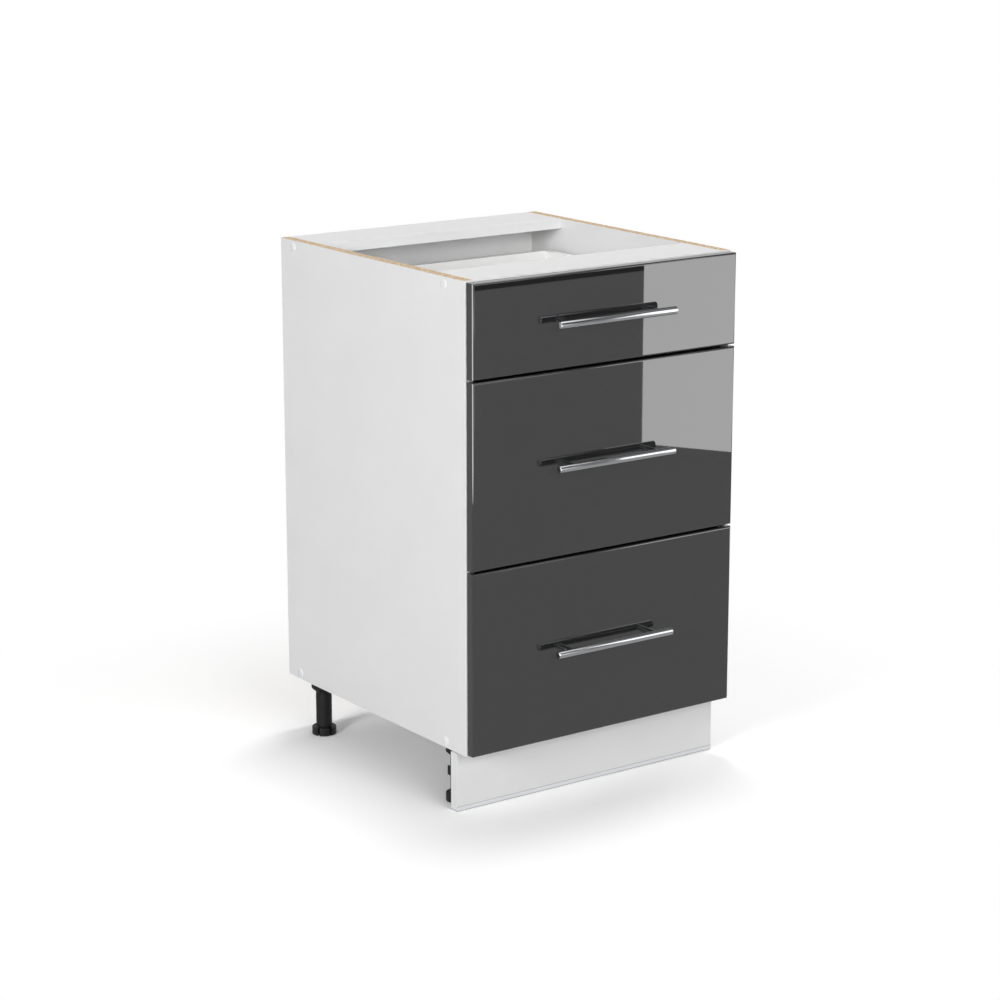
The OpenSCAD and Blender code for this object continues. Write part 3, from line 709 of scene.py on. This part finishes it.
fasciaLook = {"frontRound": 3, "roundSteps": 8, "backEase": 0.4, "backSteps": 2,
              "boltPlay": 0.05, "boltSides": 24, "screwSides": 20, "groovePlay": (0.5, 0.5, 0.1), "past": 1}
handleLook = {"barSides": 64, "barChamfer": 1, "barEase": 0.25, "easeSteps": 3,
              "postSides": 40, "postPast": 3, "seat": 0.05, "holeDepth": 9, "holePast": 1, "holeSides": 20}


def rodAlong(low, high, radius, axis, sides):
    # A plain rod between two corners, along one axis, and its place: a cutting tool
    length = (high - low)[axis] / mm
    start = (low + high) / 2
    start[axis] = low[axis]
    direction = [1 if i == axis else 0 for i in range(3)]
    return turned([(0, 0), (radius, 0), (radius, length), (0, length)], sides), facing(start, direction)


def makeFascia(level):
    # A board with a rounded front, holes for the bolts and handle screws, and a groove for the drawer bottom
    node = "fascia_" + level
    low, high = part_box(node)
    bm = block(low, high)
    near = shapeLook["cut"] * mm
    front = [e for e in bm.edges if all(v.co.y < low.y + near for v in e.verts)]
    softEdges(bm, front, fasciaLook["frontRound"], fasciaLook["roundSteps"])
    back = [e for e in bm.edges if all(v.co.y > high.y - near for v in e.verts)]
    softEdges(bm, back, fasciaLook["backEase"], fasciaLook["backSteps"])
    tools = bmesh.new()
    past = Vector((0, fasciaLook["past"] * mm, 0))
    for part in looseParts("drawer_fixings_" + level):
        partLow, partHigh = part
        if partKind(part) == "bolt":
            radius = (partHigh.x - partLow.x) / 2 / mm + fasciaLook["boltPlay"]
            partHigh.y = high.y
            addPart(tools, *rodAlong(partLow, partHigh + past, radius, 1, fasciaLook["boltSides"]))
        elif partKind(part) == "handle":
            radius = screwKinds["handle"]["shank"] + fasciaLook["boltPlay"]
            partLow.y = low.y
            partHigh.y = high.y
            addPart(tools, *rodAlong(partLow - past, partHigh + past, radius, 1, fasciaLook["screwSides"]))
    play = Vector(fasciaLook["groovePlay"]) * mm
    grooveLow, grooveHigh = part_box("drawer_bottom_" + level)
    grooveEnd = Vector((grooveHigh.x + play.x, high.y, grooveHigh.z + play.z)) + past
    addPart(tools, block(grooveLow - play, grooveEnd))
    bm = cutAway(bm, tools)
    paintSides(bm, {"+y": 1})
    return finishPiece(bm, node, (glossFoil, whiteMelamine))


def makeHandle(level):
    low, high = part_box("handle_bar_" + level)
    radius, length = (high.y - low.y) / 2 / mm, (high.x - low.x) / mm
    ease, easeSteps = handleLook["barEase"], handleLook["easeSteps"]
    outline = eased(chamferedRod(radius, length, handleLook["barChamfer"]), ease, easeSteps)
    middle = (low + high) / 2
    bar = bmesh.new()
    addPart(bar, turned(outline, handleLook["barSides"]), facing((low.x, middle.y, middle.z), (1, 0, 0)))
    finishPiece(bar, "handle_bar_" + level, (chromePlate,))
    # The posts reach into the bar, and the bar's own round and the screw holes are cut out of them
    posts = bmesh.new()
    tools = bmesh.new()
    addPart(tools, *rodAlong(low, high, radius + handleLook["seat"], 0, handleLook["barSides"]))
    screwRadius = screwKinds["handle"]["shank"] + handleLook["seat"]
    start, end = -handleLook["holePast"], handleLook["holeDepth"]
    hole = [(0, start), (screwRadius, start), (screwRadius, end), (0, end)]
    for partLow, partHigh in looseParts("handle_posts_" + level):
        postRadius = (partHigh.x - partLow.x) / 2 / mm
        reach = (partHigh.y - partLow.y) / mm + handleLook["postPast"]
        post = eased([(0, 0), (postRadius, 0), (postRadius, reach), (0, reach)], ease, easeSteps)
        foot = Vector(((partLow.x + partHigh.x) / 2, partHigh.y, (partLow.z + partHigh.z) / 2))
        addPart(posts, turned(post, handleLook["postSides"]), facing(foot, (0, -1, 0)))
        addPart(tools, turned(hole, handleLook["holeSides"]), facing(foot, (0, -1, 0)))
    return finishPiece(cutAway(posts, tools), "handle_posts_" + level, (chromePlate,))


for level in levels:
    makeFascia(level)
    makeHandle(level)
print("fascias and handles made")


# Legs, feet and plinth

legLook = {"tube": 26, "wall": 2.5, "collarHeight": 15.5, "plate": 4, "bore": 12.2, "nut": 20, "ease": 0.8,
           "easeSteps": 3, "headRoom": 3.3, "screwHole": 1.8, "holePast": 1, "holeSides": 24, "sides": 56}
footLook = {"height": 15, "fall": 2.5, "run": 5, "well": 6, "wellRoom": 0.3, "stem": 12, "tip": 1.5,
            "threadStart": 1, "threadEnd": 2, "pitch": 2, "threadDepth": 0.7, "ease": 0.8, "easeSteps": 3,
            "notches": 6, "notchWidth": 3.2, "notchDepth": 6.8, "notchPast": (2, 1), "sides": 60}


def makeLeg(node):
    # A tube with a nut for the foot below, and a cone and a wide collar above
    low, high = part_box(node)
    middle = (low + high) / 2
    top, collar = (high.z - low.z) / mm, (high.x - low.x) / 2 / mm
    tube, bore = legLook["tube"] / 2, legLook["bore"] / 2
    inside = tube - legLook["wall"]
    coneTop = top - legLook["collarHeight"]
    ceiling = top - legLook["plate"]
    nut = legLook["nut"]
    outline = [(0, top), (collar, top), (collar, coneTop), (tube, coneTop - collar + tube), (tube, 0)]
    outline += [(bore, 0), (bore, nut), (inside, nut), (inside, ceiling), (0, ceiling)]
    rounded = eased(outline, legLook["ease"], legLook["easeSteps"])
    leg = bmesh.new()
    addPart(leg, turned(rounded, legLook["sides"]), Matrix.Translation((middle.x, middle.y, low.z)))
    # Each screw that falls inside the collar gets a wide hole up to the plate and a narrow one through it
    head, hole = legLook["headRoom"], legLook["screwHole"]
    step, end = ceiling - nut, top - nut + legLook["holePast"]
    drill = [(0, 0), (head, 0), (head, step), (hole, step), (hole, end), (0, end)]
    tools = bmesh.new()
    for partLow, partHigh in looseParts("leg_screws"):
        place = (partLow + partHigh) / 2
        if (place.xy - middle.xy).length < collar * mm:
            place.z = low.z + nut * mm
            addPart(tools, turned(drill, legLook["holeSides"]), Matrix.Translation(place))
    return finishPiece(cutAway(leg, tools), node, (blackPolypropylene,))


def makeFoot(node):
    # A notched disc with a well for the tube, and a threaded stem
    low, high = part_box(node)
    middle = (low + high) / 2
    radius, top = (high.x - low.x) / 2 / mm, (high.z - low.z) / mm
    height = footLook["height"]
    floor = height - footLook["well"]
    well = legLook["tube"] / 2 + footLook["wellRoom"]
    stem = footLook["stem"] / 2
    outline = [(0, 0), (radius, 0), (radius, height - footLook["fall"]), (radius - footLook["run"], height)]
    outline += [(well, height), (well, floor), (stem, floor)]
    outline = eased(outline, footLook["ease"], footLook["easeSteps"])
    pitch, tip = footLook["pitch"], footLook["tip"]
    for i in range(int((top - floor - footLook["threadEnd"]) / pitch)):
        start = floor + footLook["threadStart"] + i * pitch
        outline += [(stem, start), (stem - footLook["threadDepth"], start + pitch / 2)]
    outline += [(stem, top - tip), (stem - tip, top), (0, top)]
    stand = Matrix.Translation((middle.x, middle.y, low.z))
    foot = bmesh.new()
    addPart(foot, turned(outline, footLook["sides"]), stand)
    tools = bmesh.new()
    half, inner = footLook["notchWidth"] / 2, radius - footLook["notchDepth"]
    pastRim, pastEnds = footLook["notchPast"]
    for i in range(footLook["notches"]):
        turn = Matrix.Rotation((i + 0.5) * 2 * math.pi / footLook["notches"], 4, "Z")
        notchLow, notchHigh = (inner, -half, -pastEnds), (radius + pastRim, half, height + pastEnds)
        addPart(tools, block(Vector(notchLow) * mm, Vector(notchHigh) * mm), stand @ turn)
    return finishPiece(cutAway(foot, tools), node, (blackPolypropylene,))


for place in ("front_left", "front_right", "rear_left", "rear_right"):
    makeLeg("leg_" + place)
    makeFoot("foot_" + place)

clipLook = {"edge": 0.35, "steps": 2, "leastEdge": 0.5}
clips = easeNode("plinth_clips", clipLook["edge"], clipLook["steps"], clipLook["leastEdge"])
finishPiece(clips, "plinth_clips", (blackPolypropylene,))
# Heights in millimetres of the painted shade lines at the top and the foot of the seal
sealLook = {"edge": 0.35, "steps": 2, "leastEdge": 4, "topLip": 1.2, "footLip": 1.6}


def makeSeal(node):
    # A grey line along the top and the foot of the seal: painted shade lines
    bm = easeNode(node, sealLook["edge"], sealLook["steps"], sealLook["leastEdge"])
    low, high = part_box(node)
    shadeLines = (low.z + sealLook["footLip"] * mm, high.z - sealLook["topLip"] * mm)
    for height in shadeLines:
        slicePiece(bm, (0, 0, height), (0, 0, 1))
    for face in bm.faces:
        stiff = shadeLines[0] < face.calc_center_median().z < shadeLines[1]
        face.material_index = 0 if stiff else 1
    return finishPiece(bm, node, (whiteVinyl, shadeLineVinyl))


makeSeal("plinth_seal")
print("legs, feet and plinth made")


# Camera, floor and light

# Metres and degrees, but the lens and the sensor are millimetres
cameraLook = {"place": (-2.5331, -3.5094, 1.4971), "yaw": 35.583, "pitch": 14.089,
              "lens": 100.76, "sensor": 36, "farthest": 200}
# The floor is white to the camera, a light grey to light that bounces, and mid grey to mirrors. The reach
# and the fade are metres, and the drop is millimetres
floorLook = {"reach": 60, "sides": 64, "drop": 0.3, "seen": 1.14, "bounce": 0.62, "mirrored": 0.5,
             "fadeStart": 0, "fadeEnd": 0.7}
roomLook = {"white": 1, "ambient": 0.3}


def makeCamera():
    data = bpy.data.cameras.new("camera")
    data.lens = cameraLook["lens"]
    data.sensor_width = cameraLook["sensor"]
    data.clip_end = cameraLook["farthest"]
    camera = bpy.data.objects.new("camera", data)
    camera.location = cameraLook["place"]
    camera.rotation_euler = (math.radians(90 - cameraLook["pitch"]), 0, math.radians(-cameraLook["yaw"]))
    bpy.context.scene.collection.objects.link(camera)
    bpy.context.scene.camera = camera


def makeFloor():
    bm = bmesh.new()
    bmesh.ops.create_circle(bm, cap_ends=True, segments=floorLook["sides"], radius=floorLook["reach"])
    bmesh.ops.translate(bm, vec=(0, 0, -floorLook["drop"] * mm), verts=bm.verts)
    mesh = bpy.data.meshes.new("studioFloor")
    bm.to_mesh(mesh)
    bm.free()
    floor = bpy.data.objects.new("studioFloor", mesh)
    bpy.context.scene.collection.objects.link(floor)
    material = bpy.data.materials.new("matteFloor")  # matte white vinyl that fades into the white round it
    material.use_nodes = True
    tree = material.node_tree
    tree.nodes.remove(tree.nodes["Principled BSDF"])
    path = addNode(tree, "LightPath", {}).outputs
    place = addNode(tree, "TexCoord", {}).outputs["Object"]
    side = addNode(tree, "VectorMath", {0: place}, operation="ABSOLUTE").outputs[0]
    past = addNode(tree, "VectorMath", {0: side, 1: (*cadBox[1].xy, 0)}, operation="SUBTRACT").outputs[0]
    outside = addNode(tree, "VectorMath", {0: past, 1: (0, 0, 0)}, operation="MAXIMUM").outputs[0]
    distance = addNode(tree, "VectorMath", {0: outside}, operation="LENGTH").outputs["Value"]
    fade = {"Value": distance, "From Min": floorLook["fadeStart"], "From Max": floorLook["fadeEnd"]}
    far = addNode(tree, "MapRange", fade, interpolation_type="SMOOTHSTEP").outputs[0]
    tone = {"Value": path["Is Camera Ray"], "To Min": floorLook["bounce"], "To Max": floorLook["seen"]}
    matte = addNode(tree, "BsdfDiffuse", {"Color": addNode(tree, "MapRange", tone).outputs[0]}).outputs[0]
    white = addNode(tree, "Emission", {"Strength": roomLook["white"]}).outputs[0]
    share = addNode(tree, "Math", {0: far, 1: path["Is Camera Ray"]}, operation="MULTIPLY").outputs[0]
    ground = addNode(tree, "MixShader", {0: share, 1: matte, 2: white}).outputs[0]
    mirrors = {0: path["Is Glossy Ray"], 1: path["Is Transmission Ray"]}
    mirrored = addNode(tree, "Math", mirrors, operation="MAXIMUM").outputs[0]
    grey = addNode(tree, "Emission", {"Strength": floorLook["mirrored"]}).outputs[0]
    plain = addNode(tree, "MixShader", {0: mirrored, 1: ground, 2: grey}).outputs[0]
    clear = addNode(tree, "BsdfTransparent", {}).outputs[0]
    under = addNode(tree, "NewGeometry", {}).outputs["Backfacing"]
    both = addNode(tree, "MixShader", {0: under, 1: plain, 2: clear}).outputs[0]
    tree.links.new(both, tree.nodes["Material Output"].inputs["Surface"])
    mesh.materials.append(material)


def makeRoom():
    # White to the camera, to mirrors and through glass, and a softer fill for everything else
    world = bpy.data.worlds.new("studioRoom")
    world.use_nodes = True
    bpy.context.scene.world = world
    tree = world.node_tree
    path = addNode(tree, "LightPath", {}).outputs
    mirror = addNode(tree, "Math", {0: path["Is Camera Ray"], 1: path["Is Glossy Ray"]}, operation="MAXIMUM")
    seen = addNode(tree, "Math", {0: mirror.outputs[0], 1: path["Is Transmission Ray"]}, operation="MAXIMUM")
    strength = {"Value": seen.outputs[0], "To Min": roomLook["ambient"], "To Max": roomLook["white"]}
    background = tree.nodes["Background"]
    background.inputs["Color"].default_value = (1, 1, 1, 1)
    tree.links.new(addNode(tree, "MapRange", strength).outputs[0], background.inputs["Strength"])
    bpy.context.scene.view_settings.view_transform = "Standard"


def addCard(name, card):
    # A glowing panel that only mirrors see, so it paints a reflection and lights nothing: upright between two
    # corners, or bent round the line of the middle handle, with its turn in degrees up from the front
    bm = bmesh.new()
    if "corners" in card:
        low, high = card["height"]
        ends = [bm.verts.new((*corner, low)) for corner in card["corners"]]
        pulled = bmesh.ops.extrude_edge_only(bm, edges=[bm.edges.new(ends)])["geom"]
        rim = [part for part in pulled if isinstance(part, bmesh.types.BMVert)]
        bmesh.ops.translate(bm, vec=(0, 0, high - low), verts=rim)
    else:
        handle = sum(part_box("handle_bar_middle"), Vector()) / 2
        low, high = [math.radians(turn) for turn in card["turn"]]
        out = Vector((0, -math.cos(low), math.sin(low))) * card["radius"]
        ends = [bm.verts.new((x, handle.y + out.y, handle.z + out.z)) for x in card["along"]]
        sweep = {"cent": (0, handle.y, handle.z), "axis": (-1, 0, 0), "angle": high - low, "steps": cardSteps}
        bmesh.ops.spin(bm, geom=ends + [bm.edges.new(ends)], **sweep)
    mesh = bpy.data.meshes.new(name)
    bm.to_mesh(mesh)
    bm.free()
    panel = bpy.data.objects.new(name, mesh)
    bpy.context.scene.collection.objects.link(panel)
    panel.visible_camera = False
    panel.visible_diffuse = False
    panel.visible_transmission = False
    panel.visible_shadow = False
    material = bpy.data.materials.new(name)
    material.use_nodes = True
    tree = material.node_tree
    tree.nodes.remove(tree.nodes["Principled BSDF"])
    glow = addNode(tree, "Emission", {"Strength": card["strength"]})
    if "fade" in card:
        place = addNode(tree, "TexCoord", {}).outputs["Object"]
        across = addNode(tree, "SeparateXYZ", {0: place}).outputs["X"]
        ramp = {"Value": across, "From Min": card["fade"][0], "From Max": card["fade"][1]}
        ramp.update({"To Min": card["strength"], "To Max": card["least"]})
        tree.links.new(addNode(tree, "MapRange", ramp).outputs[0], glow.inputs["Strength"])
    tree.links.new(glow.outputs[0], tree.nodes["Material Output"].inputs["Surface"])
    mesh.materials.append(material)


def addLamp(name, look):
    data = bpy.data.lights.new(name, "AREA")
    data.shape = "RECTANGLE"
    data.size, data.size_y = look["size"]
    data.energy = look["power"]
    lamp = bpy.data.objects.new(name, data)
    lamp.location = look["place"]
    lamp.rotation_euler = (Vector(look["aim"]) - lamp.location).to_track_quat("-Z", "Y").to_euler()
    bpy.context.scene.collection.objects.link(lamp)


# Painted reflections, glowing panels that light nothing: low windows that the gloss foil mirrors, strips and
# flags that draw the streaks on the handles, and grey walls with a skylight. Metres, and degrees for a turn
cardSteps = 24
cards = {
    "rightWindowReflection": {"corners": ((1.535, -2.09), (2.37, -0.72)), "height": (0, 0.5), "strength": 3.4},
    "leftWindowReflection": {"corners": ((-1.407, -1.966), (-2.289, 0.109)), "height": (0.05, 0.52), "strength": 5.5},
    "rightStreak": {"along": (1.5, 2.2), "turn": (-3, 46), "radius": 2, "strength": 2.2},
    "leftStreak": {"along": (0.6, 1.47), "turn": (-3, 14), "radius": 2.1, "strength": 2.2,
                   "fade": (1.38, 1.47), "least": 0.27},
    "blackFlagReflection": {"along": (0.6, 1.5), "turn": (20, 62), "radius": 2.2, "strength": 0.1},
    "floorLineReflection": {"along": (1.8, 2.6), "turn": (-6.7, -4.4), "radius": 2.95, "strength": 0.02},
    "greyWallReflection": {"along": (-2, 4), "turn": (-4.4, 64), "radius": 3, "strength": 0.27},
    "skylight": {"along": (5, 8.1), "turn": (64, 122), "radius": 11, "strength": 2.4,
                 "fade": (7.6, 8.1), "least": 0.27},
    "greyCeilingReflection": {"along": (-2, 14), "turn": (60, 128), "radius": 11.3, "strength": 0.27}}

# Soft boxes in metres and watts, above, left, in front and behind on the right
lamps = {
    "topSoftbox": {"place": (0.75, 0.6, 6), "aim": (0, 0, 0), "size": (1.2, 1.2), "power": 87},
    "leftSoftbox": {"place": (-4.2, -1.6, 1.8), "aim": (0, 0, 0.5), "size": (1.2, 1.2), "power": 100},
    "frontSoftbox": {"place": (-0.6, -4, 1.9), "aim": (0, 0, 0.5), "size": (2.2, 1.4), "power": 70},
    "rearSoftbox": {"place": (4, 1.4, 2), "aim": (0, 0, 0.5), "size": (1.6, 1.6), "power": 44}}


makeCamera()
makeFloor()
makeRoom()
for name, card in cards.items():
    addCard(name, card)
for name, lamp in lamps.items():
    addLamp(name, lamp)
print("camera, floor and light made")
